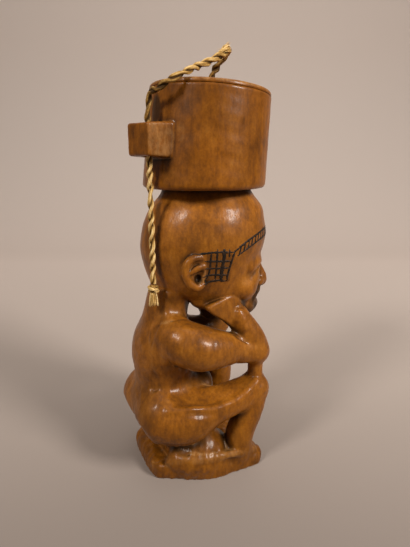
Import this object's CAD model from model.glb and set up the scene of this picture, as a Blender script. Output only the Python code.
"""Looks of the carved tobacco box: one sculpted carving, its lid, and a twisted straw cord."""

import itertools
import math

import bpy
import numpy as np
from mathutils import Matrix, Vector


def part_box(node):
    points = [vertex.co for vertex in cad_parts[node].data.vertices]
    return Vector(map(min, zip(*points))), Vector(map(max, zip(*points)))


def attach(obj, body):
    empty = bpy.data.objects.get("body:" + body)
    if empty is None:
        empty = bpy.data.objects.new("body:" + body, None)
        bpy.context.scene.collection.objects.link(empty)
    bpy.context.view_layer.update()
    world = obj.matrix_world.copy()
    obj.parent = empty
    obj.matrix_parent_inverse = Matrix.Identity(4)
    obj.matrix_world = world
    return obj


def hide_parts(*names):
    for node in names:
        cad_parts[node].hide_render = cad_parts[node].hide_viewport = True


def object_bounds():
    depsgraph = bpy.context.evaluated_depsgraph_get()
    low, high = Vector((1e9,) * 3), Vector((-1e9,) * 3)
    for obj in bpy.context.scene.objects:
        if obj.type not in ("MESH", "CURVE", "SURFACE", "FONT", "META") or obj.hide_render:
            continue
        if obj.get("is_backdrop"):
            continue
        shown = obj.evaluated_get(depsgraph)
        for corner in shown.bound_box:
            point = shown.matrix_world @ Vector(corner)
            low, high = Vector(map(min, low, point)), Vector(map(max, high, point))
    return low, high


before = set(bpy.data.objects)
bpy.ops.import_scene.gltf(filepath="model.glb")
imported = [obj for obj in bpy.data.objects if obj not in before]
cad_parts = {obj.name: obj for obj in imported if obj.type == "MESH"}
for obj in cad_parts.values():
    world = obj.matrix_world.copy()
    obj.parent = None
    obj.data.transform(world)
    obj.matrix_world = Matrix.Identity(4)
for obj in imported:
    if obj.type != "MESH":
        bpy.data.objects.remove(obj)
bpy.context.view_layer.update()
MM = 0.001

# The object's sizes, in mm as in the CAD part, and directions

HEAD_TURN = math.radians(14)
HEAD_AXIS_Y = 2
RIM_LEAN = math.radians(3.7)
RIM_RADIUS = 29.7
RIM_CENTRE = np.array([0, -2.8, 198.1])
RIM_AXIS = np.array([0, -math.sin(RIM_LEAN), math.cos(RIM_LEAN)])
FLOOR_Z = 153.5
FOOT_CENTRE_Y = 0.8
FOOT_RADIUS = 30.9
WALL_HEIGHT = 44.6
WALL_INSIDE, HOLE_CLEAR = 25.5, 2.3
CAVITY_RADIUS = 24.3
CAVITY_DEPTH = 37
LUG_ANGLE = math.radians(20)
LID_EDGE_TOP, LID_CROWN, LID_SIDES = 1.8, 2.6, 160
LUG_TOP = 181.8
LUG_BOTTOM = 168.6
KNOT_TOP = 107.8
CORD_DIAMETER, CORD_HALF_PITCH = 3, 6.3
HOLE_RADIUS = 1.9
ROUTE_STEP = 0.35
FIBRE_RADIUS = 0.1
CREST_FIBRES, OTHER_FIBRES = 60, 46
KNOT_RADIUS, KNOT_HEIGHT = 2.75, 4.6
STOPPER_RADIUS, STOPPER_HEIGHT, STOPPER_DROP = 3.5, 5, 3.3
WRAP_RADIUS, WRAP_STEPS = 1.2, 26
TUFT_LENGTH, TUFT_STRANDS, TUFT_REACH = 7.0, 110, 2.75
CREST_STRANDS = 40
HEAD_HALF_WIDTH, HEAD_HALF_DEPTH = 28.5, 32
# Millimetres round the head in one degree, and a burned ribbon's section [share of its half width, height]
ARC = 0.56
RIBBON = ((1, 0.02), (0.5, 0.13), (-0.5, 0.13), (-1, 0.02), (0, -0.5))

# The photo's camera, the stage and the patina's scale, in metres
LENS = 27.64
PATINA_HEIGHT = 0.2
CAMERA_PLACE = (-0.2019, 0.0942, 0.1648)
PITCH = math.radians(14.63)
AZIMUTH = math.radians(245)
SWEEP_START, SWEEP_RADIUS, SWEEP_REACH = 0.55, 0.5, 6
LAMP_TARGET = Vector((0, 0, 0.1))


def node_box(node):
    """The low and high corners of a CAD node at rest, in mm"""
    low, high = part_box(node)
    return np.array(low) / MM, np.array(high) / MM


tail_low, tail_high = node_box("cord_tail")
CORD_X, CORD_Y = (tail_low[:2] + tail_high[:2]) / 2
CORD_REACH = math.hypot(CORD_X, CORD_Y)


def new_object(name, data):
    made = bpy.data.objects.new(name, data)
    bpy.context.collection.objects.link(made)
    return made


def facing(direction):
    """The turn of a camera or lamp that looks in a direction"""
    return direction.to_track_quat("-Z", "Y").to_euler()


camera = new_object("camera", bpy.data.cameras.new("camera"))
camera.data.sensor_fit = "VERTICAL"
camera.data.sensor_height = 36
camera.data.lens = LENS
camera.data.clip_start = 0.01
camera.location = CAMERA_PLACE
looking = Vector((-math.sin(AZIMUTH), math.cos(AZIMUTH), 0)) * math.cos(PITCH)
looking.z = -math.sin(PITCH)
camera.rotation_euler = facing(looking)
bpy.context.scene.camera = camera


def curve_through(points, per_span):
    """The same centripetal Catmull-Rom line that the CAD cord follows"""
    p = np.array(points, float)
    q = np.vstack([2 * p[0] - p[1], p, 2 * p[-1] - p[-2]])
    out = []
    for i in range(1, len(q) - 2):
        p0, p1, p2, p3 = q[i - 1 : i + 3]
        d0, d1, d2 = (np.linalg.norm(b - a) ** 0.5 for a, b in ((p0, p1), (p1, p2), (p2, p3)))
        t1 = ((p1 - p0) / d0 - (p2 - p0) / (d0 + d1) + (p2 - p1) / d1) * d1
        t2 = ((p2 - p1) / d1 - (p3 - p1) / (d1 + d2) + (p3 - p2) / d2) * d1
        for s in np.arange(per_span) / per_span:
            a, b = 2 * s**3 - 3 * s**2 + 1, s**3 - 2 * s**2 + s
            c, d = -2 * s**3 + 3 * s**2, s**3 - s**2
            out.append(a * p1 + b * t1 + c * p2 + d * t2)
    out.append(p[-1])
    return np.array(out)


def even(points, gap):
    """The same line with its points about one gap apart"""
    lengths = np.concatenate([[0], np.cumsum(np.linalg.norm(np.diff(points, axis=0), axis=1))])
    count = max(2, int(round(lengths[-1] / gap)) + 1)
    marks = np.linspace(0, lengths[-1], count)
    return np.stack([np.interp(marks, lengths, points[:, i]) for i in range(points.shape[1])], 1)


def unit(v):
    """Vectors along the last axis brought to length 1"""
    return v / np.linalg.norm(v, axis=-1, keepdims=True)


def wheel(first, second, angle):
    """Directions at an angle between two directions"""
    return first * np.cos(angle)[..., None] + second * np.sin(angle)[..., None]


def frames_along(points):
    """Two directions across a line at each point that turn with it as little as they can"""
    tangents = unit(np.gradient(points, axis=0))
    across = np.cross(tangents[0], [0.3, 1, 0.2])
    first = []
    for t in tangents:
        across = unit(across - t * (across @ t))
        first.append(across)
    return np.array(first), np.cross(tangents, first)


# The cord's first points by their rise over the rim's middle, then shares of the rim's radius and a rise
LOOP_FOOT_RISES = (-3, 1, 4.6)
LOOP_OVER_RIM = [
    (0, -0.04, 8.8),
    (-0.064, -0.115, 13.6),
    (-0.2, -0.165, 17.4),
    (-0.35, -0.12, 18.2),
    (-0.471, 0.024, 15.2),
    (-0.566, 0.236, 11.6),
    (-0.646, 0.458, 8.6),
    (-0.714, 0.676, 5.7),
    (-0.741, 0.859, 3),
    (-0.71, 1.003, 0.8),
    (-0.577, 1.118, -1.9),
]
# Offsets from the middle of the lug's top
LOOP_OVER_LUG = [(-0.5, -1.1, 13.2), (-0.3, -0.7, 9.4), (0, 0, 5)]
stops = [RIM_CENTRE + RIM_AXIS * rise for rise in LOOP_FOOT_RISES]
for x, y, z in LOOP_OVER_RIM:
    stops.append(RIM_CENTRE + np.array([x * RIM_RADIUS, y * RIM_RADIUS, z]))
for x, y, z in LOOP_OVER_LUG:
    stops.append(np.array([CORD_X + x, CORD_Y + y, LUG_TOP + z]))
stops.append(np.array([CORD_X, CORD_Y, (LUG_TOP + LUG_BOTTOM) / 2]))
route = curve_through(stops, 14)
route = np.vstack([route, [CORD_X, CORD_Y, KNOT_TOP + 0.3]])
route = even(route, ROUTE_STEP)


def raw_mesh(name, points, faces):
    """A smooth mesh from points in metres"""
    mesh = bpy.data.meshes.new(name)
    mesh.from_pydata(points.tolist(), [], faces.tolist(), shade_flat=False)
    return new_object(name, mesh)


def new_mesh(name, points, faces, body, replaced=()):
    """A smooth mesh from points in mm that rides a body and stands for CAD nodes"""
    piece = raw_mesh(name, np.asarray(points, np.float32) * MM, faces)
    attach(piece, body)
    if replaced:
        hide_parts(*replaced)
    return piece


def paint(piece, name, values):
    """Keeps one number per point on a piece for its material to read"""
    layer = piece.data.attributes.new(name, "FLOAT", "POINT")
    layer.data.foreach_set("value", np.asarray(values, np.float32))


class Strands:
    """Closed tubes gathered into one mesh"""

    def __init__(self):
        self.points, self.faces, self.tone = [], [], []
        self.count = 0

    def tube(self, line, radii, sides, tone):
        """A round tube along a line, closed to a point at each end"""
        first, second = frames_along(line)
        around = wheel(first[:, None], second[:, None], 2 * math.pi * np.arange(sides) / sides)
        self.sleeve(line[:, None] + around * np.asarray(radii)[:, None, None], tone)

    def sleeve(self, rings, tone):
        """A skin over rings of points with a fan at each end"""
        rows, sides = rings.shape[:2]
        index = self.count + np.arange(rows * sides).reshape(rows, sides)
        turned = np.roll(index, -1, axis=1)
        sheet = np.stack([index[:-1], turned[:-1], turned[1:], index[1:]], -1).reshape(-1, 4)
        self.points += [rings.reshape(-1, 3), rings[0].mean(0)[None], rings[-1].mean(0)[None]]
        self.faces += [sheet[:, [0, 1, 2]], sheet[:, [0, 2, 3]]]
        for end, edge in enumerate([(turned[0], index[0]), (index[-1], turned[-1])]):
            hub = np.full(sides, self.count + rows * sides + end)
            self.faces.append(np.column_stack([*edge, hub]))
        tones = np.broadcast_to(tone, (rows, sides)).ravel()
        self.tone += [tones, tones[:1], tones[-1:]]
        self.count += rows * sides + 2

    def piece(self, name, body, slot, replaced=()):
        points = np.vstack(self.points)
        made = new_mesh(name, points, np.vstack(self.faces), body, replaced)
        paint(made, "tone", np.concatenate(self.tone))
        return made


def twisted_rings(line, radius, half_pitch, sides=32, start=0.0, wear=1.0, soil=0.0, limit=1.0):
    """Rings of a cord laid from two plies, each ply a bundle of fibres"""
    first, second = frames_along(line)
    along = np.concatenate([[0], np.cumsum(np.linalg.norm(np.diff(line, axis=0), axis=1))])
    drift = 0.35 * np.sin(along * 0.31 + 2) + 0.25 * np.sin(along * 0.83)
    turn = (start + math.pi * along / half_pitch + drift)[:, None]
    local = (2 * math.pi * np.arange(sides) / sides)[None, :]
    ply, reach = radius * 0.56, radius * 0.5
    out = reach * np.abs(np.cos(local)) + np.sqrt(ply**2 - (reach * np.sin(local)) ** 2 * 0.98)
    fibre = np.sin(8 * local + 4.3 * turn + 1.3 * np.sin(3 * local)) + 0.7 * np.sin(14 * local - 2.1 * turn)
    bundle = np.sin(0.53 * along[:, None] + 2 * np.sign(np.cos(local)))
    swell = np.sin(along * 0.9)[:, None] + np.sin(along * 0.37 + 1)[:, None] + 0.8 * bundle
    out = out * (0.97 + 0.03 * swell) + radius * 0.028 * fibre
    groove = 1 - out / radius
    out = np.minimum(out, radius * limit) * np.reshape(wear, (-1, 1))
    around = wheel(first[:, None], second[:, None], local + turn)
    tone = 0.58 + 0.15 * fibre + 0.1 * bundle - 1.15 * np.clip(groove - 0.12, 0, 0.5)
    return line[:, None] + around * out[..., None], tone - np.reshape(soil, (-1, 1))


chance = np.random.default_rng(7)
heights = route[:, 2]
crest = int(np.argmax(heights))
steps = np.arange(len(route))
# The cord is looser above the lid, opened up over the crest, and soiled where it rubs and by the lid
opened = 1 + 0.3 * np.exp(-(((steps - crest) / 14) ** 2))
opened += 0.22 * np.clip((heights - 203) / 4, 0, 1)
rubbed = (heights < 200) & (heights > LUG_TOP - 2) & (steps > crest)
soiled = 0.36 * np.clip((crest - 4 - steps) / 10, 0, 1) + 0.05 * (heights > 201)
soiled += 0.3 * np.convolve(rubbed, np.ones(9) / 9, "same")
cord = Strands()
cord.sleeve(*twisted_rings(route, CORD_DIAMETER / 2, CORD_HALF_PITCH, wear=opened, soil=soiled, limit=1.1))
cord_piece = cord.piece("cord", "cord_run", "straw", ("cord_loop", "cord_tail"))
fuzz = Strands()


def loose_fibre(start, direction, size, lift, droop):
    """A thin fibre that leaves the cord and curls"""
    steps = np.linspace(0, 1, 9)[:, None]
    side = np.cross(direction, lift)
    bend = chance.normal(0, 0.12, 3) * size
    line = start + direction * steps * size + np.asarray(lift) * np.sin(steps * 1.6) * size * droop
    line = line + side * steps**2 * chance.normal(0, 0.15) * size + bend * steps**2
    fuzz.tube(line, FIBRE_RADIUS * (1 - 0.7 * steps[:, 0]), 4, 0.75 + chance.uniform(-0.15, 0.15))


first_way, second_way = frames_along(route)
route_tangent = unit(np.gradient(route, axis=0))
over_crest = chance.integers(crest - 22, crest + 24, CREST_FIBRES)
fibre_places = [*over_crest, *chance.integers(50, len(route) - 8, OTHER_FIBRES)]
for place in fibre_places:
    near_crest = abs(place - crest) < 30
    if route[place, 2] < KNOT_TOP + 20:
        continue
    if LUG_BOTTOM - 4 < route[place, 2] < LUG_TOP + 3 and abs(route[place, 0] - CORD_X) < 1:
        continue
    angle = chance.uniform(0, 2 * math.pi)
    lift = wheel(first_way[place], second_way[place], np.array(angle))
    if near_crest:
        lift = lift * 0.5 + np.array([0, 0, 0.9])
    if route[place, 2] < LUG_BOTTOM and lift[1] < -0.2:
        lift[1] *= -1
    heading = route_tangent[place] * chance.choice([-1, 1])
    size = chance.uniform(1.8, 3.8) if near_crest else chance.uniform(1.2, 3)
    loose_fibre(route[place] + lift * 1.25, heading, size, lift, 0.28 if near_crest else 0.16)

# Strands that bulge where the plies come apart over the crest
for _ in range(CREST_STRANDS):
    middle, half = crest + int(chance.integers(-10, 11)), int(chance.integers(8, 15))
    span = np.arange(middle - half, middle + half + 1)
    angle = chance.uniform(0, 2 * math.pi) + 0.05 * (span - span[0])
    outward = wheel(first_way[span], second_way[span], angle)
    bulge = chance.uniform(0.4, 1.3) * np.sin(np.linspace(0, math.pi, len(span)))[:, None]
    thick = chance.uniform(0.14, 0.26) * np.linspace(1, 0.4, len(span))
    fuzz.tube(route[span] + outward * (1.1 + bulge), thick, 5, 0.62 + chance.uniform(-0.3, 0.25))

loose = fuzz.piece("loose_fibres", "cord_run", "straw")

# The carving is a field of distances, in mm, that its pieces add to or cut from in turn

OUTSIDE = 9.0
FAR = 99
PROUD = 0.5
UNEVEN_REACH = 4
# Heights where the knife's facets and the plinth's chips end, where the container's inside begins, and of
# the groove below the container
FACETS_TOP, CHIPS_TOP, CAVITY_FROM = 95, 24, 160
GROOVE_LOW, GROOVE_HIGH = 138, 152
# The grid's cells along a coarse one, and how many points are worked out at a time
COARSE = 4
BATCH = 400_000
CORNERS = list(itertools.product((0, 1), repeat=3))
SPAN = 0.6
PLINTH_HALF, PLINTH_BACK = 29.9, 37.7
RIGHT_BACK_CORNER, LEFT_BACK_CORNER = 29.0, 17.0
LUG_HALF_WIDTH, LUG_HALF_HEIGHT, LUG_PAST_CORD = 8.2, 7.5, 5.7
LUG_ROOT = 25.6
KNIFE_STEP = 1.4
ARMS_START = 60


def length(v):
    return np.sqrt(np.einsum("ij,ij->i", v, v))


def in_box(p, box):
    return ((p > box[0]) & (p < box[1])).all(1)


def smooth_min(a, b, blend):
    share = np.clip(blend - np.abs(a - b), 0, None) / blend
    return np.minimum(a, b) - share * share * blend * 0.25


class Field:
    """Pieces that join or cut one another, each within its own box"""

    def __init__(self):
        self.steps = []

    def add(self, shape, blend=1.0):
        self.steps.append((*shape, blend, 1))

    def cut(self, shape, blend=0.6):
        self.steps.append((*shape, blend, -1))

    def __call__(self, points):
        value = np.full(len(points), OUTSIDE, np.float32)
        for low, high, measure, blend, sign in self.steps:
            room = blend + 2.5
            near = np.flatnonzero(in_box(points, (low - room, high + room)))
            if near.size:
                value[near] = sign * smooth_min(sign * value[near], measure(points[near]), blend)
        return value


def vec(*numbers):
    return np.array(numbers, np.float32)


def within(low, high):
    """Makes a measure of distance into a shape, which counts only in and near a box"""
    return lambda measure: (vec(*low), vec(*high), measure)


def away_from(p, a, b):
    """The share of the way from a to b where each point is nearest, and the vector from there to it"""
    ab, off = b - a, p - a
    share = np.clip(off @ ab / (ab @ ab), 0, 1)
    return share, off - share[:, None] * ab


def run(stations, step=2.2):
    """A tapering limb with round ends along a smooth line of [x, y, z, radius]"""
    line = even(curve_through(stations, 6), step).astype(np.float32)
    reach = line[:, 3].max()

    def measure(p):
        best = np.full(len(p), FAR, np.float32)
        for a, b in zip(line[:-1], line[1:]):
            share, gap = away_from(p, a[:3], b[:3])
            np.minimum(best, length(gap) - a[3] - share * (b[3] - a[3]), out=best)
        return best

    return line[:, :3].min(0) - reach, line[:, :3].max(0) + reach, measure


def turn_about_z(angle):
    x, y = math.cos(angle), math.sin(angle)
    return np.array([[x, -y, 0], [y, x, 0], [0, 0, 1]], np.float32)


def blob(centre, halves, turn=0):
    """An ellipsoid by its centre, half sizes and turn in degrees about z"""
    centre, halves = vec(*centre), vec(*halves)
    turned = turn_about_z(math.radians(turn))
    reach = np.sqrt((turned**2) @ (halves**2))

    def measure(p):
        q = (p - centre) @ turned
        whole, slope = length(q / halves), length(q / halves**2)
        return whole * (whole - 1) / np.maximum(slope, 1e-6)

    return centre - reach, centre + reach, measure


def edge_round(a, b, radius):
    """Where two distances both hold, with a round edge between them"""
    a, b = a + radius, b + radius
    both = np.hypot(np.maximum(a, 0), np.maximum(b, 0))
    return both + np.minimum(np.maximum(a, b), 0) - radius


def sections(table, end_edge):
    """A body of level elliptical sections [y, z, half width, half depth]"""
    y, z, wide, deep = even(curve_through(table, 8), 0.5).T

    def measure(p):
        centre = np.interp(p[:, 2], z, y)
        a, b = np.interp(p[:, 2], z, wide), np.interp(p[:, 2], z, deep)
        u, v = p[:, 0] / a, (p[:, 1] - centre) / b
        whole = np.sqrt(u * u + v * v)
        side = whole * (whole - 1) / np.maximum(np.hypot(u / a, v / b), 1e-6)
        side = np.where(whole < 0.3, -np.minimum(a, b) * (1 - whole), side)
        ends = np.maximum(z[0] - p[:, 2], p[:, 2] - z[-1])
        return edge_round(side, ends, end_edge)

    low = vec(-wide.max(), (y - deep).min(), z.min())
    return low, vec(wide.max(), (y + deep).max(), z.max()), measure


def beyond(reach, normal, low, high):
    """The wood beyond a plane, within a box"""
    normal = vec(*normal)
    return within(low, high)(lambda p: reach - p @ normal)


def slab(front, front_corner, inset, thickness, edge):
    """A slab with the plinth's plan, cut off at a front of its own"""
    half = vec(PLINTH_HALF - inset, (PLINTH_BACK - inset - front) / 2)
    middle = (PLINTH_BACK - inset + front) / 2

    @within((-half[0], front, 0), (half[0], PLINTH_BACK - inset, thickness))
    def shape(p):
        x, y = p[:, 0], p[:, 1] - middle
        back = np.where(x < 0, RIGHT_BACK_CORNER, LEFT_BACK_CORNER) - inset
        corner = np.where(y > 0, np.minimum(back, half.min()), front_corner)
        plan = edge_round(np.abs(x) - half[0], np.abs(y) - half[1], corner)
        top = edge_round(plan, p[:, 2] - thickness, edge)
        return edge_round(top, -p[:, 2], 0.7)

    return shape


def both_sides(shape):
    """The same shape on both sides of x = 0"""
    low, high, measure = shape
    reach = max(abs(low[0]), abs(high[0]))

    @within((-reach, *low[1:]), (reach, *high[1:]))
    def mirrored(p):
        return measure(np.abs(p) * vec(-1, 0, 0) + p * vec(0, 1, 1))

    return mirrored


def on_side(side, stations):
    """Stations of the right side for side 1, the right, or -1, the left"""
    return [(side * x, *rest) for x, *rest in stations]


UPPER_ARM = [
    (-16, 24, 80, 9.4),
    (-21, 21, 78, 10.6),
    (-24, 14.5, 75.2, 11.1),
    (-25, 4, 73.2, 9.2),
    (-24.5, -5, 71.6, 7.4),
    (-24, -18.6, 68, 6.8),
]
LEFT_UPPER_ARM = [
    (-15, 22, 74, 9.4),
    (-20, 19, 72, 10.6),
    (-22.5, 13, 69.5, 10.8),
    (-23, 3, 66.6, 8.4),
    (-23, -6, 66, 7),
    (-23, -19, 66.5, 7.1),
]
FOREARM = [(-24, -18.6, 68, 6.8), (-23.3, -16.2, 74.5, 7.1), (-22.6, -12.6, 81, 6.5), (-21.8, -9, 87.5, 5.5)]
THIGH = [
    (-12.5, 29, 35.5, 15.5),
    (-18.5, 21, 34.8, 14.1),
    (-22.5, 8, 39.2, 9.9),
    (-24, -5, 42.4, 8.3),
    (-24, -18.4, 46, 7.3),
]
SHIN = [
    (-24, -18.4, 46, 7.2),
    (-24, -16.6, 36, 7.2),
    (-24, -13.2, 27, 7),
    (-24, -10, 19, 7.1),
    (-24, -9, 9, 7.2),
]
LEFT_SHIN = [
    (-23, -19.4, 46, 7.9),
    (-22.5, -20, 36, 7.8),
    (-22.5, -19, 26, 7.6),
    (-22.5, -15, 17, 7.4),
    (-22.5, -11, 8, 7.3),
]
FOOT = [(-24, 1, 7.6, 4.6), (-24, -9, 8, 4.9), (-24.2, -18.6, 4.4, 3.7)]
BRIDGE = [(-24, -18.6, 50, 3.9), (-24, -18.9, 58, 3.4), (-24, -18.6, 64, 3.9)]
TRUNK = [
    (22, 17, 15, 9),
    (25, 25.5, 20, 14),
    (28, 33.5, 22.6, 15),
    (28, 43, 20.6, 14.4),
    (26.4, 50.5, 17, 13.6),
    (25.8, 58, 17, 14.8),
    (27, 65, 18.5, 14.4),
    (26.7, 74, 20, 13.2),
    (24.8, 81, 18, 12),
    (23.7, 88, 13.2, 11),
    (21.4, 96, 12.8, 11.2),
    (16.6, 105, 14.8, 13.4),
]
HEAD = [
    (-17, 83.4, 6.5, 5.5),
    (-14.5, 87.5, 11.5, 10.2),
    (-7.5, 94, 17.3, 18.6),
    (0.8, 101, 21.8, 26.6),
    (2.2, 108, 24.6, 28.9),
    (2.6, 115, 26.8, 30.5),
    (2, 122, 28.3, 32.2),
    (1, 128.5, 28.4, 32.6),
    (0.5, 135.5, 27.3, 31.4),
    (-0.6, 143.5, 24.5, 28.6),
    (-0.7, 149.5, 21, 23.9),
    (-0.2, 155.5, 18.6, 21),
]
HAND_X, HAND_HALF = -19.9, 3.6
HAND = [(-14, 86), (-10.5, 94), (-5.5, 99.4), (4.5, 97.6), (9.2, 95.2), (7, 92.4), (-0.8, 86.6), (-5.5, 82.5)]

# The head faces -Y in its own frame and is turned with all its pieces
HEAD_AXIS = vec(0, HEAD_AXIS_Y, 0)
HEAD_TURNED = turn_about_z(HEAD_TURN)


def to_head(p):
    return (p - HEAD_AXIS) @ HEAD_TURNED.T + HEAD_AXIS


def from_head(q):
    return (q - HEAD_AXIS) @ HEAD_TURNED + HEAD_AXIS


head = Field()
head.add(sections(HEAD, 3))
head.add(both_sides(blob((-13, 2.5, 96.8), (7, 8, 5), 10)), 3)
# Brow, eye sockets, eyes and lids
head.add(both_sides(run([(-17.5, -20, 113.6, 2), (-11, -25, 115.4, 2.4), (-3.6, -27.2, 113.8, 2)])), 3)
head.cut(both_sides(blob((-10.6, -28.2, 108.6), (6.6, 4.4, 4.6), -14)), 2.4)
head.cut(both_sides(blob((-4.6, -29.4, 108), (2.6, 4, 4.4))), 2)
head.add(both_sides(blob((-10.8, -22.4, 108.6), (5.4, 4.2, 3.7), -12)), 0.7)
UPPER_LID = [
    (-16.1, -20.6, 108.1, 0.7),
    (-13.6, -24.1, 110.5, 1),
    (-10.4, -26, 111.3, 1.1),
    (-7.2, -26.2, 110.2, 0.9),
    (-5.4, -25.6, 108.2, 0.6),
]
LOWER_LID = [
    (-16.1, -20.6, 108.1, 0.6),
    (-13.4, -24, 106.6, 0.8),
    (-10.4, -25.6, 105.9, 0.9),
    (-7.2, -25.8, 106.7, 0.8),
    (-5.4, -25.6, 108.2, 0.6),
]
for eyelid in (UPPER_LID, LOWER_LID):
    head.add(both_sides(run(eyelid, 1)), 0.7)
# Nose
head.add(run([(0, -27, 115, 2.6), (0, -29, 109, 2.7), (0, -31, 104.4, 3.1), (0, -31.3, 102.2, 3.3)]), 2.4)
head.add(both_sides(blob((-3.9, -28.6, 102), (2.3, 3.2, 2.3), 12)), 1.4)
head.cut(both_sides(blob((-2, -30.6, 99.3), (1.1, 1.5, 1.1))), 0.6)
# Cheeks, mouth and chin
head.add(both_sides(blob((-13.6, -17.6, 102.4), (7.4, 6.6, 6.2), -30)), 5)
head.add(blob((0, -22.6, 96), (9, 5.2, 4.6)), 3)
UPPER_LIP = [(-6.2, -25.6, 95.9, 0.8), (-2.6, -27.6, 96.9, 1.15), (0, -27.9, 96.4, 1)]
UPPER_LIP += on_side(-1, UPPER_LIP[1::-1])
head.add(run(UPPER_LIP, 1), 0.9)
head.add(run([(-5.4, -25.6, 95, 0.8), (0, -27.4, 94.1, 1.5), (5.4, -25.6, 95, 0.8)], 1), 0.9)
head.cut(run([(-6.8, -26, 95.7, 0.35), (0, -28.9, 95.5, 0.45), (6.8, -26, 95.7, 0.35)], 1), 0.5)
head.add(blob((0, -19.4, 89.4), (7.6, 6.2, 5.2)), 4)
# The beard stands a little proud round the mouth and chin, with locks carved down it
head.add(blob((0, -19.5, 89.4), (11.4, 8.6, 6)), 2)
MOUSTACHE = [(-1, -28.8, 98.9, 1.1), (-4.4, -27.9, 98.2, 1.7), (-8, -24.9, 95.8, 1.8)]
MOUSTACHE += [(-9, -22.6, 91.6, 1.8), (-7.4, -21.8, 88.4, 2)]
head.add(both_sides(run(MOUSTACHE, 1)), 1.2)
head.add(run([(-5, -25.2, 89.6, 2.1), (0, -27, 89.2, 2.4), (5, -25.2, 89.6, 2.1)], 1), 1.6)


def lock(x, top, bottom, front):
    """One carved parting that follows the beard down to its end"""
    bend = 0.5 * math.sin(5 * x)
    line = [(x, front, top, 0.4), (x * 0.95 + bend, front - 0.4, (top + bottom) / 2, 0.62)]
    return run([*line, (x * 0.8, front + 2.4, bottom, 0.35)], 1.2)


for x in np.linspace(-9.6, 9.6, 13):
    curve = (x / 11) ** 2
    head.cut(lock(x, 91.4 + 3 * curve, 84.2 + 3 * curve, -29.2 + 8.6 * curve), 0.6)
for x in (-6.8, -5, -3.2, 3.2, 5, 6.8):
    head.cut(run([(x * 0.9, -30, 99.6, 0.3), (x * 1.12, -27.6 + 0.1 * abs(x), 96.8, 0.45)], 1), 0.5)
# Ears: a C-shaped rim round a shallow bowl with a pit at its front
head.add(both_sides(blob((-26, 10.8, 114.6), (2.8, 5.4, 7.6), -8)), 1.2)
head.cut(both_sides(blob((-30, 9.2, 114.8), (3.7, 4.5, 6))), 0.5)
EAR_RIM = [
    (-27.2, 5.4, 120.8, 0.7),
    (-28.2, 9.4, 122.2, 1.2),
    (-28.9, 13.6, 120.6, 1.45),
    (-28.9, 15.2, 116.2, 1.35),
    (-28.7, 14.4, 111.8, 1.3),
    (-28, 12, 108.6, 1.7),
    (-27.4, 9.2, 107.2, 1.5),
    (-26.8, 6.4, 108.4, 0.9),
]
head.add(both_sides(run(EAR_RIM, 1.2)), 0.4)
head.add(both_sides(run([(-27.4, 6.2, 117.6, 1), (-27.8, 9.4, 117, 1.3), (-28.2, 12.6, 115.2, 1)], 1.2)), 0.5)
EAR_GROOVE = [(-29.2, 7.4, 119.4, 0.5), (-29.4, 11.4, 119.4, 0.8), (-29.2, 13.2, 116.4, 0.6)]
head.cut(both_sides(run(EAR_GROOVE, 1.2)), 0.4)
head.cut(both_sides(blob((-28.2, 9, 111.6), (3.2, 2.2, 2.8))), 0.5)


@within((-34.5, -34.5, 83), (34.5, 36.5, 156))
def head_shape(p):
    return head(to_head(p))


def hand_shape():
    """The flat hand on the jaw, a rounded slab whose plane leans a little out of x = HAND_X"""
    outline = even(curve_through([*HAND, HAND[0]], 5), 1.4)[:-1].astype(np.float32)

    @within((-25, *outline.min(0)), (-17.5, *outline.max(0)))
    def shape(p):
        q = p[:, 1:]
        best = np.full(len(p), FAR, np.float32)
        inside = np.zeros(len(p), bool)
        for a, b in zip(outline, np.roll(outline, -1, axis=0)):
            np.minimum(best, length(away_from(q, a, b)[1]), out=best)
            crosses = (q[:, 1] < a[1]) != (q[:, 1] < b[1])
            rise = b[1] - a[1] if b[1] != a[1] else 1e-6
            inside ^= crosses & (q[:, 0] < a[0] + (q[:, 1] - a[1]) * (b[0] - a[0]) / rise)
        off = p[:, 0] - HAND_X - 0.07 * (p[:, 2] - 92) + 0.05 * (p[:, 1] + 2)
        return edge_round(np.where(inside, -best, best), np.abs(off) - HAND_HALF, 1.1)

    return shape


@within((-31, -32.6, FLOOR_Z), (31, 31.8, 200.2))
def container_shape(p):
    share = np.clip((p[:, 2] - FLOOR_Z) / WALL_HEIGHT, 0, 1)
    centre = FOOT_CENTRE_Y + (RIM_CENTRE[1] - FOOT_CENTRE_Y) * share
    radius = FOOT_RADIUS + (RIM_RADIUS - FOOT_RADIUS) * share
    drum = edge_round(np.hypot(p[:, 0], p[:, 1] - centre) - radius, FLOOR_Z - p[:, 2], 1.8)
    return edge_round(drum, (p - RIM_CENTRE) @ RIM_AXIS, 0.35)


@within((-25, -27.5, CAVITY_FROM), (25, 26, 204))
def cavity_shape(p):
    off = p - RIM_CENTRE
    rise = off @ RIM_AXIS
    side = length(off - rise[:, None] * RIM_AXIS) - CAVITY_RADIUS
    return edge_round(side, -rise - CAVITY_DEPTH, 2.5)


def lug_shape():
    """A block with rounded edges on the container's wall, a little narrower and lower outwards"""
    half_depth = (CORD_REACH + LUG_PAST_CORD - LUG_ROOT) / 2
    out = LUG_ROOT + half_depth
    centre = vec(-out * math.sin(LUG_ANGLE), out * math.cos(LUG_ANGLE), (LUG_TOP + LUG_BOTTOM) / 2)
    halves = vec(LUG_HALF_WIDTH, half_depth, LUG_HALF_HEIGHT)
    turned = turn_about_z(LUG_ANGLE)
    reach = np.abs(turned) @ halves

    @within(centre - reach, centre + reach)
    def shape(p):
        q = (p - centre) @ turned
        size = halves - vec(1, 0, 1) * ((1 + q[:, 1] / half_depth) / 2)[:, None]
        gap = np.abs(q) - size + 0.7
        return length(np.maximum(gap, 0)) + np.minimum(gap.max(1), 0) - 0.7

    return shape


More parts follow.
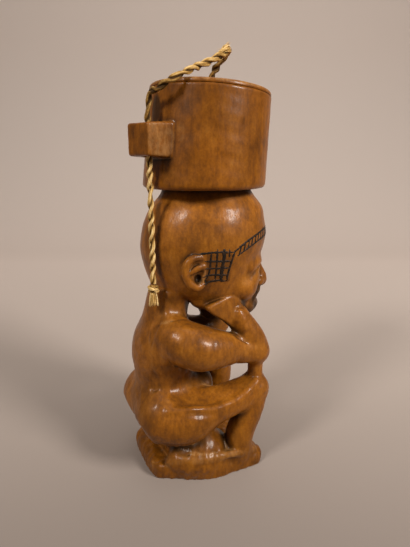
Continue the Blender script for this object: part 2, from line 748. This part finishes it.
@within((CORD_X - 2, CORD_Y - 2, LUG_BOTTOM - 6), (CORD_X + 2, CORD_Y + 2, LUG_TOP + 6))
def cord_hole(p):
    side = np.hypot(p[:, 0] - CORD_X, p[:, 1] - CORD_Y) - HOLE_RADIUS
    return np.maximum(side, np.maximum(LUG_BOTTOM - 4 - p[:, 2], p[:, 2] - LUG_TOP - 4))


@within((-37, -21, 36), (-9, 26, 64))
def thigh_facet(p):
    """The flat that the knife left on top of the thigh, which gives it a ridge outside"""
    q = p - vec(-22.5, 8, 37)
    s = q @ vec(-0.054, -0.946, 0.323)
    fade = 0.02 * np.clip(s - 16, 0, None) ** 2 + 0.02 * np.clip(-s, 0, None) ** 2
    return 8.9 - 0.1 * s + fade - q @ vec(-0.46, 0.3, 0.835)


carving = Field()
for side in (1, -1):
    carving.add(run(on_side(side, THIGH)), 1.4)
carving.cut(both_sides(thigh_facet), 1.6)
carving.cut(beyond(22.3, (0, 0.88, -0.475), (-40, 20, 14), (40, 48, 50)), 1.6)
carving.add(slab(-23.4, 7, 0, 5.6, 2), 1)
carving.add(slab(-4, 8, 0.2, 8.4, 3.4), 2.4)
carving.add(slab(3.5, 4, 9, 26, 3), 2)
for reach, across in ((30.8, -0.906), (31.7, 0.906)):
    carving.cut(beyond(reach, (across, 0.423, -0.16), (-40, -4, -2), (40, 44, 22)), 2.5)
carving.add(both_sides(blob((-17.5, 10.6, 9), (12, 16.6, 13), 8)), 3)
carving.add(both_sides(run([(-19, 25, 11, 5), (-25.5, 15, 9.4, 4), (-25.6, 4, 9, 3.4)])), 2.5)
carving.add(both_sides(run([(-19, 12, 21, 4.4), (-24.4, 5, 12.5, 3.6)])), 1.6)
carving.add(sections(TRUNK, 4), 3.6)
carving.add(blob((0, 18, 42), (17, 17, 14)), 5)
carving.add(blob((-1, 4.5, 45), (13, 5.6, 8)), 2.5)
for side, shin, upper in ((1, SHIN, UPPER_ARM), (-1, LEFT_SHIN, LEFT_UPPER_ARM)):
    shoulder = [(x * 0.94, y, z, r - 1.2) for x, y, z, r in upper[:3]]
    limbs = ((shin, 2), (FOOT, 2.6), (BRIDGE, 2.4), (shoulder, 8), (upper, 2.2), (FOREARM, 1.8))
    for limb, blend in limbs:
        carving.add(run(on_side(side, limb)), blend)
# Knife lines: creases at the shoulder, arm pit, wrist and lower thigh, and ridges between them
PLINTH_EDGE = [
    (-19.4, 30.4, 10.2, 0.8),
    (-23.6, 24.6, 12.6, 1.3),
    (-28, 15.6, 12.8, 1.2),
    (-28.6, 4.6, 11.8, 1.2),
    (-30.2, -6.5, 12, 1.2),
    (-26.8, -17.7, 8.6, 0.8),
]
THIGH_CREASE = [
    (-22, 30, 19, 0.4),
    (-25, 26.5, 16.5, 0.7),
    (-25.5, 19, 15.6, 0.7),
    (-27.5, 13, 14.6, 0.6),
    (-28.6, 5, 14.4, 0.4),
]
CREASES = [
    [(-12, 33, 85.4, 0.1), (-18.4, 26, 89.4, 0.5), (-17.5, 19, 90, 0.5)],
    [(-23, 31, 71.6, 0.2), (-20, 24.5, 65.4, 0.8), (-26, 19, 65, 0.9), (-31, 13, 65.6, 0.4)],
    [(-24, -1.8, 84.2, 0.6), (-28.6, -5.3, 78.8, 0.8), (-30, -9.5, 76, 0.5)],
    THIGH_CREASE,
]
THIGH_EDGE = [
    (-24.4, 32, 43.8, 0.8),
    (-28.2, 22.9, 44.6, 1.3),
    (-29.2, 14, 43, 1.4),
    (-30.4, 8.9, 43, 1.3),
    (-31, -0.6, 44.4, 1.2),
    (-30.4, -9.2, 47.4, 1.1),
    (-28.8, -16.9, 51.6, 0.9),
]
WRIST_EDGE = [(-26.8, -9, 87.4, 0.9), (-27.6, -9.4, 83, 1.1), (-25, -7.4, 91.6, 0.8)]
NECK_RIDGE = [(-10, 26, 99, 0.9), (-11.8, 26.7, 92, 1.3), (-16, 27.5, 88, 1)]


def knife_line(stations):
    """A thin run, on the right side alone at the arms, because the left arm hangs lower"""
    line = run(stations, KNIFE_STEP)
    return line if stations[0][2] > ARMS_START else both_sides(line)


carving.add(knife_line(NECK_RIDGE), 2.4)
for stations in CREASES:
    carving.cut(knife_line(stations), 1.3)
for stations in (THIGH_EDGE, PLINTH_EDGE, WRIST_EDGE):
    carving.add(knife_line(stations), 2)
carving.add(both_sides(hand_shape()), 1.6)
carving.add(head_shape, 1.1)
carving.add(container_shape, 0.9)
carving.add(lug_shape(), 0.8)
carving.cut(cavity_shape, 0.6)
carving.cut(cord_hole, 0.5)
for mouth in (LUG_TOP + 0.4, LUG_BOTTOM - 0.4):
    carving.cut(blob((CORD_X, CORD_Y, mouth), (2.6, 2.6, 1)), 0.4)


def waves(p, size, seed, count=5):
    """A smooth unevenness from -1 to 1 with lumps of about one size"""
    source = np.random.default_rng(seed)
    total = np.zeros(len(p), np.float32)
    for _ in range(count):
        way = source.normal(size=3)
        way *= 2 * math.pi / (size * np.linalg.norm(way))
        total += np.sin(p @ way.astype(np.float32) + source.uniform(0, 6.3))
    return total / count


def surface(p):
    """The carving with the knife's slight unevenness, which stands a little proud of its shapes"""
    p = np.asarray(p, np.float32)
    value = carving(p)
    near = np.flatnonzero(np.abs(value) < UNEVEN_REACH)
    q = p[near]
    x, y, z = q.T
    facets = (np.abs(waves(q, 9, 6)) - 0.5) * np.clip((FACETS_TOP - z) / 20, 0.2, 1)
    rough = 0.12 * waves(q, 13, 3) + 0.07 * waves(q, 5, 4) + 0.3 * facets - PROUD
    rough += np.clip((CHIPS_TOP - z) / 14, 0, 1) * 0.3 * waves(q, 4, 5)
    # The cavity, the rim and the cord's hole keep their sizes
    free = np.where(z > CAVITY_FROM, np.clip((np.hypot(x, y + 2) - WALL_INSIDE) / 2, 0, 1), 1)
    free = free * np.clip((-0.35 - (q - RIM_CENTRE) @ RIM_AXIS) / 0.5, 0, 1)
    free = free * np.clip((np.hypot(x - CORD_X, y - CORD_Y) - HOLE_CLEAR) / 1.2, 0, 1)
    value[near] += rough * free
    return np.maximum(value, -p[:, 2])


def at_corner(values, corner):
    """The part of a grid that holds one corner of every cell"""
    return values[tuple(slice(c, c + n - 1) for c, n in zip(corner, values.shape))]


def spread(values, times):
    """Each value of a grid repeated along all three axes"""
    for axis in range(3):
        values = np.repeat(values, times, axis)
    return values


def grid_field(low, high, span):
    """The field on an even grid, worked out finely only near the surface"""
    shape = np.ceil((high - low) / (span * COARSE)).astype(int) * COARSE
    axes = [low[i] + span * np.arange(0, shape[i] + 1, COARSE) for i in range(3)]
    mesh = np.stack(np.meshgrid(*axes, indexing="ij"), -1)
    rough = surface(mesh.reshape(-1, 3)).reshape(mesh.shape[:3])
    near = np.abs(rough) < span * COARSE * 1.35
    inner = spread(np.logical_or.reduce([at_corner(near, corner) for corner in CORNERS]), COARSE)
    fine = spread(rough, COARSE)[: shape[0] + 1, : shape[1] + 1, : shape[2] + 1]
    wanted = np.zeros(fine.shape, bool)
    for corner in CORNERS:
        at_corner(wanted, corner)[...] |= inner
    places = np.argwhere(wanted)
    points = low + span * places
    found = [surface(points[i : i + BATCH]) for i in range(0, len(points), BATCH)]
    fine[tuple(places.T)] = np.concatenate(found)
    return fine


def surface_net(fine, low, span):
    """One point in each cell that the surface crosses, and a face for each crossed edge"""
    inside = fine < 0
    cells = sum(at_corner(inside, corner).astype(np.int8) for corner in CORNERS)
    places = np.argwhere((cells > 0) & (cells < len(CORNERS)))
    index = np.full(cells.shape, -1, np.int32)
    index[tuple(places.T)] = np.arange(len(places))
    total, hits = np.zeros((len(places), 3)), np.zeros(len(places))
    for a, axis in itertools.product(CORNERS, range(3)):
        if a[axis]:
            continue
        b = np.array(a)
        b[axis] = 1
        va, vb = fine[tuple((places + a).T)], fine[tuple((places + b).T)]
        cross = (va < 0) != (vb < 0)
        meeting = np.tile(np.array(a, float), (len(places), 1))
        meeting[:, axis] += np.where(cross, va / np.where(cross, va - vb, 1), 0)
        total += meeting * cross[:, None]
        hits += cross
    points = low + span * (places + total / hits[:, None])
    faces = []
    for axis in range(3):
        u, v = (axis + 1) % 3, (axis + 2) % 3
        first = np.take(inside, range(0, inside.shape[axis] - 1), axis)
        second = np.take(inside, range(1, inside.shape[axis]), axis)
        for order, crossed in ((1, first & ~second), (-1, ~first & second)):
            edges = np.argwhere(crossed)
            ok = (edges[:, [u, v]] > 0).all(1)
            ok &= (edges[:, u] < cells.shape[u]) & (edges[:, v] < cells.shape[v])
            quad = []
            for du, dv in ((1, 1), (0, 1), (0, 0), (1, 0)):
                cell = edges[ok]
                cell[:, u] -= du
                cell[:, v] -= dv
                quad.append(index[tuple(cell.T)])
            faces.append(np.stack(quad[::order], 1))
    return points, np.vstack(faces)


def slopes(p, step=0.15):
    """The field's value and its direction at each point"""
    total, value = np.zeros((len(p), 3), np.float32), np.zeros(len(p), np.float32)
    for way in (vec(1, -1, -1), vec(-1, -1, 1), vec(-1, 1, -1), vec(1, 1, 1)):
        d = surface(p + way * step)
        total += way * d[:, None]
        value += d / 4
    return value, total / (4 * step)


def settle(p, reach, rounds):
    """Points moved onto the carving's surface, with the surface's directions there"""
    for _ in range(rounds):
        value, slope = slopes(p)
        steep = np.maximum(np.einsum("ij,ij->i", slope, slope), 0.2)
        p = p - np.clip(value / steep, -reach, reach)[:, None] * slope
    slope = slopes(p)[1]
    return p, slope / np.maximum(length(slope), 1e-6)[:, None]


low, high = vec(-37, -38, -1.6), vec(37, 47, 202)
points, faces = surface_net(grid_field(low, high, SPAN), low, SPAN)
points, normals = settle(points, 0.4 * SPAN, 2)

CARVING_NODES = ("container", "plinth", "head", "right_leg", "right_arm", "left_leg", "left_arm", "trunk")
sculpt = new_mesh("carved_wood", points, faces, "carving", CARVING_NODES)

# How much each point lies in a crevice or on an edge
px, py, pz = points.T
crevice, edge = np.zeros(len(points)), np.zeros(len(points))
for reach in (1.2, 3, 6):
    crevice += np.clip(1 - surface(points + normals * reach) / reach, 0, 1.5) / 3
for reach in (0.9, 1.8):
    edge += np.clip(1 + surface(points - normals * reach) / reach, 0, 1) / 2
# The groove under the container is seen lit
crevice *= np.where((pz > GROOVE_LOW) & (pz < GROOVE_HIGH), 0.65, 1)


def spot(places, weight, centre, halves, soft):
    """A weight inside an ellipsoid and 0 outside, over a soft band"""
    off = (places - np.array(centre)) / np.array(halves)
    return weight * np.clip((1 - length(off)) / soft + 0.5, 0, 1)


def trace(places, stations, step, weight, width):
    """A weight on a run that fades out over a width round it"""
    off = np.clip(run(stations, step)[2](places.astype(np.float32)), 0, None)
    return weight * np.clip(1 - off / width, 0, 1)


# Bare wood scraped pale on the lug's side and beside it, and along the plinth's edge
pale = [
    spot(points, 0.44, (-22, 31, 175), (8, 9.5, 9), 0.3) * (normals[:, 0] < -0.7),
    spot(points, 0.32, (-20.5, 21.4, 178.6), (3, 2, 5.5), 0.7),
    trace(np.stack([-np.abs(px), py, pz], 1), PLINTH_EDGE, 1, 0.55, 2.6),
]
paint(sculpt, "edge", np.clip(np.max([edge, *pale], axis=0), 0, 1))
# The hanging cord has left a dark line down the head and a stain on the wall. The hollows between the
# limbs and under the jaw have never been handled or cleaned, and dirt has stayed on the back.
CORD_LINE = [
    (-3, 26.5, 145, 1),
    (-7.5, 29, 140, 1.1),
    (-11, 30.5, 131.7, 1),
    (-12, 30.8, 122, 1),
    (-10.4, 30, 113, 1),
]
inward = np.clip(0.7 - normals[:, 0] * np.sign(px), 0, 1)
dark = [
    trace(points, CORD_LINE, 2, 0.45, 1.8),
    spot(points, 0.8, (-6, 28, 189), (3.6, 5, 6.4), 0.6),
    spot(points, 0.5, (0, -3, 52), (17, 23, 24), 0.4),
    spot(points, 0.65, (3, -6, 79), (20, 20, 19), 0.4) * inward,
    spot(points, 0.25, (-12, 42, 43), (18, 12, 14), 0.8),
    spot(points, 0.2, (-15, 26, 92), (12, 9, 9), 0.8),
    spot(points, 0.16, (-33, 23, 79), (8, 10, 9), 0.8),
]
paint(sculpt, "crevice", np.clip(np.max([crevice, *dark], axis=0), 0, 1))

# Scorched wood, in the head's own frame and the same on both sides: beard, eyes, nostrils, ear pits, mouth
SCORCHED = [
    (1, (0, -21, 89.4), (12, 11, 6.6), 0.3),
    (1, (5, -27, 97.8), (6.4, 5, 3), 0.4),
    (1, (8.6, -24, 93.6), (3.4, 5, 5), 0.4),
    (0.3, (10.6, -25, 108.7), (6, 4, 3.2), 0.3),
    (0.9, (2, -30, 99.8), (1.5, 2, 1.2), 0.6),
    (0.9, (27.4, 9, 111.8), (3, 2.2, 2.6), 0.6),
    (0.7, (0, -27.5, 95.6), (6.6, 3, 0.7), 0.8),
]
# Boxes round the front of the head, and round the squares that are burned before the ear
FACE_BOX = (vec(-1, -FAR, 83.5), vec(FAR, 14, 150))
SQUARES_BOX = (vec(18, -7.5, 108.5), vec(FAR, 5, 124))
HEAD_REACH = 36
local = to_head(points.astype(np.float32))
local[:, 0] = np.abs(local[:, 0])
scorch = np.max([0.5 * in_box(local, SQUARES_BOX), *(spot(local, *place) for place in SCORCHED)], axis=0)
scorch *= in_box(local, FACE_BOX) & (np.hypot(px, py) < HEAD_REACH)
paint(sculpt, "scorch", np.clip(scorch, 0, 1))

# Burned lines on the head: thin closed ribbons pressed onto its surface
lines = Strands()


def burn(width, thin, marks):
    """A burned line through marks [degrees round the head from the front, height] on both sides"""
    line = even(curve_through([(ARC * a, z, 0) for a, z in marks], 6)[:, :2], 0.6)
    line = line + chance.normal(0, 0.045, line.shape)
    angle = np.radians(line[:, 0] / ARC)
    for side in (-1, 1):
        x, y = side * HEAD_HALF_WIDTH * np.sin(angle), 1 - HEAD_HALF_DEPTH * np.cos(angle)
        on, normal = settle(from_head(np.stack([x, y, line[:, 1]], 1)), 2, 4)
        across = np.cross(normal, unit(np.gradient(on, axis=0)))
        share = np.linspace(0, 1, len(on))
        taper = np.clip(np.minimum(share, 1 - share) / 0.1, thin, 1)
        half = (width / 2 * taper * (1 + chance.normal(0, 0.14, len(on))))[:, None]
        ring = [on + across * half * out + normal * up for out, up in RIBBON]
        lines.sleeve(np.stack(ring, 1), 0.5 + chance.normal(0, 0.25, len(on))[:, None])


UPPER_RAIL = [(72, 124.2), (64.3, 126.9), (51.5, 130), (36, 132.1), (18, 133.1), (0, 133.4)]
LOWER_RAIL = [(68.7, 121.8), (60, 124.3), (46, 127.3), (30.8, 128.9), (14, 129.6), (0, 129.8)]
BURNED_LINES = [
    (1.05, 0.45, [(113, 122.2), (104, 123.6), (92.5, 124.4), (80, 124.2), (72, 124)]),
    (1.25, 0.45, [(72, 124), (74, 119.5), (75.6, 112.8), (76.4, 108.3)]),
    (1.0, 0.45, [(99.5, 108.9), (92.6, 108.8), (84, 108.5), (76.4, 108.3)]),
    (1.0, 0.45, [(93.2, 124.4), (93.8, 116.4), (94.1, 109)]),
    (1.05, 0.45, [(87.8, 125.9), (88, 124.4), (88.2, 116.2), (88.2, 108.8)]),
    (1.8, 0.7, [(82, 125.8), (81.8, 122), (82.4, 116), (82.6, 108.6)]),
    (0.9, 0.45, [(77, 125.6), (77, 121.6)]),
    (1.0, 0.45, [(98.6, 120.3), (88, 119.9), (74, 119.4)]),
    (0.9, 0.45, [(98.4, 116.4), (88.4, 116), (74.8, 115.6)]),
    (1.05, 0.45, [(100.6, 112.5), (88, 112.2), (75.6, 111.7)]),
    (1.1, 0.8, UPPER_RAIL),
    (1.0, 0.8, LOWER_RAIL),
]
for burned_line in BURNED_LINES:
    burn(*burned_line)


def on_rail(rail, angle):
    """The mark on a rail at an angle"""
    return angle, float(np.interp(angle, *np.array(rail[::-1]).T))


for k, angle in enumerate(np.arange(66, 1, -4.7)):
    foot = angle + 0.9 + 0.5 * math.sin(3 * k)
    burn(0.9, 0.7, [on_rail(UPPER_RAIL, angle - 0.5), on_rail(LOWER_RAIL, foot)])
burned_lines = lines.piece("burned_lines", "carving", "wood")

# The lid's outline [radius, rise over the rim], from its cord hole round its underside, edge and crown
LID_OUTLINE = [
    (HOLE_RADIUS, -3),
    (23.4, -3),
    (23.75, -2.86),
    (23.9, -2.5),
    (23.9, 0.05),
    (29.76, 0.05),
    (29.78, -0.18),
    (29.88, -0.22),
    (29.98, -0.1),
    (29.98, 0.3),
    (29.94, 0.95),
    (29.75, 1.35),
    (29.4, 1.65),
    (28.8, 1.86),
]
LID_OUTLINE += [(RIM_RADIUS * x, LID_EDGE_TOP + LID_CROWN * (1 - x * x)) for x in np.linspace(0.94, 0.07, 18)]
LID_OUTLINE += [(1.95, 4.36), (HOLE_RADIUS, 4.2)]
angles = 2 * math.pi * np.arange(LID_SIDES) / LID_SIDES
right_way = np.array([1.0, 0, 0])
spokes = wheel(right_way, np.cross(RIM_AXIS, right_way), angles)
ripple = 0.0016 * (1 + np.sin(3 * angles + 1) * np.sin(7 * angles))
rings = []
for r, z in LID_OUTLINE:
    uneven = 1 - ripple * (z > 0.5)
    rings.append(RIM_CENTRE + RIM_AXIS * z + spokes * (r * uneven)[:, None])
rows = len(LID_OUTLINE)
below = np.arange(rows * LID_SIDES).reshape(rows, LID_SIDES)
above = np.roll(below, -1, axis=0)
quads = np.stack([below, np.roll(below, -1, axis=1), np.roll(above, -1, axis=1), above], -1).reshape(-1, 4)
lid = new_mesh("wooden_lid", np.vstack(rings), quads, "lid", ("lid",))
paint(lid, "edge", np.repeat([0.75 * (r > 28 and z > 0.3) for r, z in LID_OUTLINE], LID_SIDES))
for layer in ("crevice", "scorch"):
    paint(lid, layer, np.zeros(rows * LID_SIDES))


def wound(name, centre, axis, radius, height, replaced):
    """A knot: two wraps of the cord's own ply round the middle, and one passing over them"""
    knot = Strands()
    axis = unit(np.array(axis, float))
    first = unit(np.cross(axis, [0.2, 1, 0.1]))
    second = np.cross(axis, first)
    ring = radius - WRAP_RADIUS * 0.8
    climb = height / 2 - WRAP_RADIUS

    def spiral(t, angle, rise, reach):
        return centre + axis * rise * (2 * t - 1)[:, None] + wheel(first, second, angle) * reach

    t = np.linspace(0, 1, 2 * WRAP_STEPS)
    reach = ring * (1 - 0.12 * np.abs(2 * t - 1) ** 3)
    line = spiral(t, 4 * math.pi * t, climb, reach[:, None])
    rings, tone = twisted_rings(line, WRAP_RADIUS, 4.5, 20)
    size = np.where((t < 0.02) | (t > 0.98), 0.6, 1)[:, None, None]
    knot.sleeve(line[:, None] + (rings - line[:, None]) * size, tone)
    t = np.linspace(0, 1, 22)
    line = spiral(t, 0.9 + 2.2 * t, 0.9 * climb, ring * 1.02)
    knot.sleeve(*twisted_rings(line, WRAP_RADIUS, 3.2, 20, 1))
    core = centre + axis * np.linspace(-height / 2 + 0.3, height / 2 - 0.3, 8)[:, None]
    knot.tube(core, [0.9, 1.5, 1.6, 1.6, 1.6, 1.6, 1.5, 0.9], 14, 0.3)
    return knot.piece(name, "cord_run", "straw", replaced)


knot_centre = np.array([CORD_X, CORD_Y, KNOT_TOP - KNOT_HEIGHT / 2])
end_knot = wound("end_knot_wraps", knot_centre, (0.06, 0.1, 1), KNOT_RADIUS, KNOT_HEIGHT, ("end_knot",))
stopper_centre = RIM_CENTRE - RIM_AXIS * (STOPPER_DROP + STOPPER_HEIGHT / 2)
lid_knot = wound("lid_knot_wraps", stopper_centre, RIM_AXIS, STOPPER_RADIUS, STOPPER_HEIGHT, ("lid_knot",))

# The frayed end below the knot
tuft = Strands()
for k in range(TUFT_STRANDS):
    spread_share = math.sqrt((k + 0.5) / TUFT_STRANDS)
    steps = np.linspace(0, 1, 8)[:, None]
    inner, outer = 1.5 * spread_share, 2.65 * spread_share * chance.uniform(0.85, 1.08)
    heading = np.array([math.cos(2.4 * k), math.sin(2.4 * k), 0])
    fall = TUFT_LENGTH * chance.uniform(0.84, 1.0)
    line = heading * (inner + (outer - inner) * steps**1.4) - np.array([0, 0, fall]) * steps
    line = line + np.array([-heading[1], heading[0], 0]) * chance.normal(0, 0.35) * np.sin(steps * 3)
    reach = length(line[:, :2])[:, None]
    line[:, :2] *= np.minimum(1, TUFT_REACH / np.maximum(reach, 1e-6))
    line = line + np.array([CORD_X, CORD_Y, KNOT_TOP - KNOT_HEIGHT + 0.6])
    thick = chance.uniform(0.16, 0.32)
    tuft.tube(line, thick * np.array([1, 1, 1, 1, 1, 0.95, 0.85, 0.5]), 5, 0.72 + chance.uniform(-0.34, 0.25))
tuft_piece = tuft.piece("frayed_end", "cord_run", "straw", ("end_tuft",))


class Nodes:
    """A material's nodes, made and joined by short calls"""

    def __init__(self, name):
        self.material = bpy.data.materials.new(name)
        self.material.use_nodes = True
        self.tree = self.material.node_tree
        self.place = self.make("ShaderNodeTexCoord").outputs["Object"]

    def fill(self, node, sockets):
        """Puts a value or a link in each socket of a node"""
        for key, value in sockets.items():
            if isinstance(value, bpy.types.NodeSocket):
                self.tree.links.new(value, node.inputs[key])
            else:
                node.inputs[key].default_value = value

    def make(self, kind, sockets=None, **settings):
        node = self.tree.nodes.new(kind)
        for key, value in settings.items():
            setattr(node, key, value)
        self.fill(node, sockets or {})
        return node

    def maths(self, operation, a, b):
        return self.make("ShaderNodeMath", {0: a, 1: b}, operation=operation).outputs[0]

    def total(self, *weighted):
        """The sum of values [value, weight]"""
        parts = [self.maths("MULTIPLY", value, weight) for value, weight in weighted]
        for part in parts[1:]:
            parts[0] = self.maths("ADD", parts[0], part)
        return parts[0]

    def noise(self, scale, detail, rough, stretch=(1, 1, 1), bend=0.0):
        place = self.make("ShaderNodeMapping", {"Vector": self.place, "Scale": stretch}).outputs[0]
        sockets = {"Vector": place, "Scale": scale, "Detail": detail, "Roughness": rough, "Distortion": bend}
        return self.make("ShaderNodeTexNoise", sockets).outputs[0]

    def ramp(self, value, *stops):
        node = self.make("ShaderNodeValToRGB", {0: value})
        points = node.color_ramp.elements
        while len(points) < len(stops):
            points.new(0.5)
        for point, (place, color) in zip(points, stops):
            point.position = place
            point.color = (*color, 1) if isinstance(color, tuple) else (color, color, color, 1)
        return node.outputs[0]

    def mix(self, share, a, b, kind="MIX"):
        sockets = {0: share, 6: a, 7: (*b, 1) if isinstance(b, tuple) else b}
        return self.make("ShaderNodeMix", sockets, data_type="RGBA", blend_type=kind).outputs[2]

    def painted(self, name):
        return self.make("ShaderNodeAttribute", attribute_name=name).outputs["Fac"]

    def bump(self, height, strength, distance, **normal):
        sockets = {"Strength": strength, "Distance": distance, "Height": height, **normal}
        return self.make("ShaderNodeBump", sockets).outputs[0]

    def finish(self, **sockets):
        named = {key.replace("_", " "): value for key, value in sockets.items()}
        self.fill(self.tree.nodes["Principled BSDF"], named)
        return self.material


def wood_material():
    n = Nodes("polished wood")
    # Fibres up the block, a wide figure across it, and blotches of handling
    fibres = n.noise(700, 4, 0.65, (1, 1, 0.06), 0.2)
    streaks = n.noise(210, 4, 0.6, (1, 1, 0.12), 0.6)
    figure = n.noise(60, 3, 0.5, (1, 1, 0.6), 1.2)
    blotch = n.noise(150, 5, 0.62, (1, 1, 0.7), 0.5)
    fleck = n.noise(520, 3, 0.6, (1, 1, 0.45))
    color = n.ramp(
        n.total((fibres, 0.13), (streaks, 0.12), (figure, 0.25), (blotch, 0.32), (fleck, 0.18)),
        (0.34, (0.1, 0.034, 0.0045)),
        (0.44, (0.185, 0.06, 0.0045)),
        (0.51, (0.265, 0.086, 0.0045)),
        (0.58, (0.335, 0.116, 0.007)),
        (0.7, (0.43, 0.175, 0.022)),
    )
    color = n.mix(0.7, color, n.ramp(n.noise(800, 3, 0.7), (0.4, 0.86), (0.64, 1.14)), "MULTIPLY")
    color = n.mix(1.0, color, n.ramp(n.noise(30, 2, 0.5), (0.36, 0.84), (0.62, 1.08)), "MULTIPLY")
    # Handling has darkened the plinth and the container
    height = n.make("ShaderNodeSeparateXYZ", {0: n.place}).outputs[2]
    patina = n.ramp(
        n.maths("MULTIPLY", height, 1 / PATINA_HEIGHT),
        (0.03, 0.74),
        (0.13, 0.88),
        (0.2, (0.96, 0.97, 1.3)),
        (0.32, (1.0, 1.02, 1.6)),
        (0.66, (1.02, 1.04, 1.6)),
        (0.745, (1.4, 1.43, 2.2)),
        (0.765, (0.86, 0.83, 0.8)),
        (1.0, (0.82, 0.79, 0.8)),
    )
    color = n.mix(1.0, color, patina, "MULTIPLY")
    # Dark patina in the crevices, pale wear on the edges
    crevice = n.ramp(n.painted("crevice"), (0.08, 0.0), (0.6, 1.0))
    color = n.mix(n.maths("MULTIPLY", crevice, 0.85), color, (0.026, 0.011, 0.003))
    wear = n.ramp(n.painted("edge"), (0.2, 0.0), (0.55, 1.0))
    patchy = n.ramp(n.noise(330, 5, 0.75, (1, 1, 0.6)), (0.4, 0.1), (0.62, 1.0))
    scuffs = n.maths("MULTIPLY", wear, patchy)
    color = n.mix(n.maths("MULTIPLY", scuffs, 0.55), color, (0.48, 0.25, 0.085))
    charred = n.ramp(n.noise(330, 4, 0.7), (0.3, 1.0), (0.7, 0.6))
    color = n.mix(n.maths("MULTIPLY", n.painted("scorch"), charred), color, (0.012, 0.006, 0.003))
    grain = n.bump(n.maths("ADD", fibres, n.maths("MULTIPLY", streaks, 0.5)), 0.3, 0.0002)
    normal = n.bump(n.noise(300, 4, 0.6, (1, 1, 0.5)), 0.42, 0.00035, Normal=grain)
    pores = n.ramp(fibres, (0.34, 1.0), (0.5, 0.0))
    handled = n.ramp(blotch, (0.35, 0.0), (0.65, 1.0))
    rough = n.maths("ADD", 0.36, n.total((pores, 0.12), (handled, 0.12), (scuffs, 0.25)))
    return n.finish(
        Base_Color=color,
        Roughness=rough,
        Normal=normal,
        Coat_Normal=normal,
        Coat_Weight=0.26,
        Coat_Roughness=0.19,
        Specular_IOR_Level=0.14,
    )


def straw_material():
    n = Nodes("twisted straw")
    tone = n.total((n.painted("tone"), 0.62), (n.noise(900, 3, 0.6), 0.3), (n.noise(120, 2, 0.5), 0.12))
    color = n.ramp(
        tone,
        (0.24, (0.06, 0.026, 0.003)),
        (0.42, (0.31, 0.16, 0.032)),
        (0.57, (0.62, 0.38, 0.12)),
        (0.74, (0.95, 0.71, 0.35)),
    )
    normal = n.bump(n.noise(1400, 3, 0.6), 0.35, 0.0002)
    return n.finish(Base_Color=color, Roughness=0.66, Normal=normal, Specular_IOR_Level=0.2)


def burn_material():
    n = Nodes("burned line")
    color = n.ramp(
        n.total((n.painted("tone"), 0.35), (n.noise(420, 4, 0.65), 0.7)),
        (0.42, (0.008, 0.005, 0.003)),
        (0.62, (0.022, 0.011, 0.005)),
        (0.78, (0.08, 0.03, 0.008)),
    )
    return n.finish(Base_Color=color, Roughness=0.5, Specular_IOR_Level=0.3)


wood, straw, burned = wood_material(), straw_material(), burn_material()
of_straw = (cord_piece, loose, end_knot, lid_knot, tuft_piece)
for material, pieces in ((wood, (sculpt, lid)), (straw, of_straw), (burned, (burned_lines,))):
    for piece in pieces:
        piece.data.materials.append(material)

# The stage: a seamless warm grey sweep, three soft lamps and a plain world


def lamp(name, place, size, power, color):
    """A round lamp that faces the object's middle"""
    light = bpy.data.lights.new(name, "AREA")
    light.shape = "DISK"
    light.size, light.energy, light.color = size, power, color
    holder = new_object(name, light)
    holder.location = place
    holder.rotation_euler = facing(LAMP_TARGET - Vector(place))


def sweep_floor():
    """A floor that curves up behind the object, seen from the camera"""
    away = unit(np.array([-camera.location.x, -camera.location.y, 0]))
    aside = np.array([-away[1], away[0], 0]) * SWEEP_REACH
    rises = np.linspace(0, math.pi / 2, 24)
    curve = [(SWEEP_START + SWEEP_RADIUS * math.sin(a), SWEEP_RADIUS * (1 - math.cos(a))) for a in rises]
    profile = [(-SWEEP_REACH, 0), *curve, (SWEEP_START + SWEEP_RADIUS, SWEEP_REACH)]
    middle = np.array([away * out + np.array([0, 0, up]) for out, up in profile])
    index = np.arange(2 * len(profile)).reshape(-1, 2)
    quads = np.stack([index[:-1, 0], index[1:, 0], index[1:, 1], index[:-1, 1]], 1)
    floor = raw_mesh("floor", np.stack([middle - aside, middle + aside], 1).reshape(-1, 3), quads)
    floor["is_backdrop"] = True
    n = Nodes("warm grey sweep")
    x, y, z = n.make("ShaderNodeSeparateXYZ", {0: n.place}).outputs
    forward = n.total((x, float(away[0])), (y, float(away[1])))
    depth = n.total((forward, 0.6), (z, 0.5), (n.noise(3, 2, 0.5), 0.02))
    color = n.ramp(
        n.maths("ADD", depth, 0.2),
        (0.0, (0.13, 0.106, 0.093)),
        (0.16, (0.25, 0.208, 0.184)),
        (0.26, (0.43, 0.362, 0.322)),
        (0.5, (0.67, 0.569, 0.51)),
        (0.95, (0.665, 0.572, 0.519)),
    )
    floor.data.materials.append(n.finish(Base_Color=color, Roughness=0.9, Specular_IOR_Level=0.1))


def from_view(right, toward, up):
    """A place by its distances to the right of the camera's view, towards the camera and up"""
    x = math.cos(AZIMUTH) * right + math.sin(AZIMUTH) * toward
    return x, math.sin(AZIMUTH) * right - math.cos(AZIMUTH) * toward, up


sweep_floor()
lamp("left lamp", from_view(-0.6, 0.6, 0.8), 0.26, 6, (1, 0.95, 0.88))
lamp("right lamp", from_view(0.75, 0.5, 0.68), 0.3, 10.5, (1, 0.95, 0.88))
lamp("top lamp", from_view(0.1, -0.2, 1.5), 1.2, 5.0, (1, 0.97, 0.94))
world = bpy.data.worlds.new("world")
bpy.context.scene.world = world
world.use_nodes = True
background = world.node_tree.nodes["Background"]
background.inputs["Color"].default_value = (1, 0.94, 0.86, 1)
background.inputs["Strength"].default_value = 0.2

bpy.context.scene.view_settings.view_transform = "Standard"

low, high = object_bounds()
